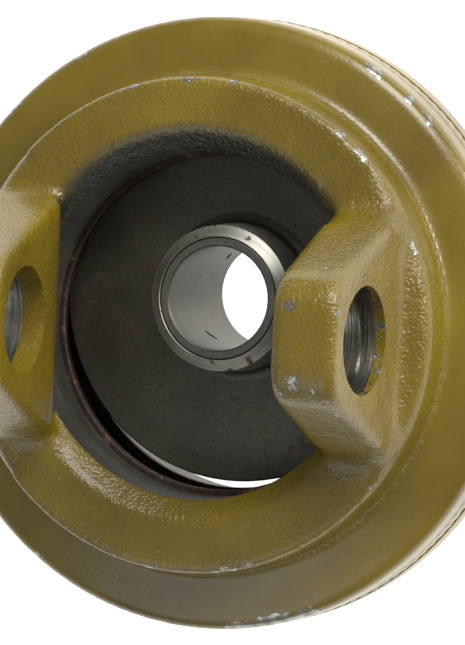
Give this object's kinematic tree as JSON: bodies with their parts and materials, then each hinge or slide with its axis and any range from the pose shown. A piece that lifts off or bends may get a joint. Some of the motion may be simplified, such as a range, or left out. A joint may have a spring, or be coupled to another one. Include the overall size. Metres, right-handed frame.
{
  "type": "constant-velocity joint centre housing",
  "caption": "Centre housing of a wide-angle drive shaft joint: two eared yokes welded around a floating guide disc with a bushed hub.",
  "frame": {"origin": "centre of the base plane: on the joint axis, at the flat tips of the rear ears", "axes": "+Z along the joint axis from the rear yoke to the front yoke, X along the ears, Y across them"},
  "size_m": [0.175, 0.175, 0.157],
  "materials": {
    "enamel": "glossy olive-yellow enamel over a rough forging, chipped at the edges",
    "weld": "painted weld bead",
    "machined_steel": "turned steel with light rust",
    "zinc_steel": "zinc plated",
    "rusty_steel": "dull brown surface rust",
    "dark_steel": "dark satin steel with rust spots",
    "bush_steel": "dark hardened bush, bright in the bore"
  },
  "bodies": {
    "housing": {"front_yoke": "enamel", "rear_yoke": "enamel", "rim_weld": "weld", "locating_dowel_1": "machined_steel", "locating_dowel_2": "machined_steel", "locating_dowel_3": "machined_steel", "locating_dowel_4": "machined_steel", "grease_nipple": "zinc_steel"},
    "front_ring": {"front_wear_ring": "rusty_steel"},
    "rear_ring": {"rear_wear_ring": "rusty_steel"},
    "disc": {"guide_disc": "dark_steel", "hub_sleeve": "machined_steel", "front_hub_weld": "dark_steel", "rear_hub_weld": "dark_steel", "hub_bush": "bush_steel"},
    "ball": {"nipple_ball": "machined_steel"}
  },
  "joints": [
    {"name": "front_ring_turn", "type": "hinge", "parent": "housing", "child": "front_ring", "pos_m": [0, 0, 0.0785], "axis": [0, 0, 1], "continuous": true},
    {"name": "rear_ring_turn", "type": "hinge", "parent": "housing", "child": "rear_ring", "pos_m": [0, 0, 0.0785], "axis": [0, 0, 1], "continuous": true},
    {"name": "disc_float", "type": "slide", "parent": "front_ring", "child": "disc", "axis": [0.501, 0.8654, 0], "range_m": [-0.031, 0.0134]},
    {"name": "nipple_ball_press", "type": "slide", "parent": "housing", "child": "ball", "axis": [0, 0, -1], "range_m": [0, 0.0008]}
  ]
}
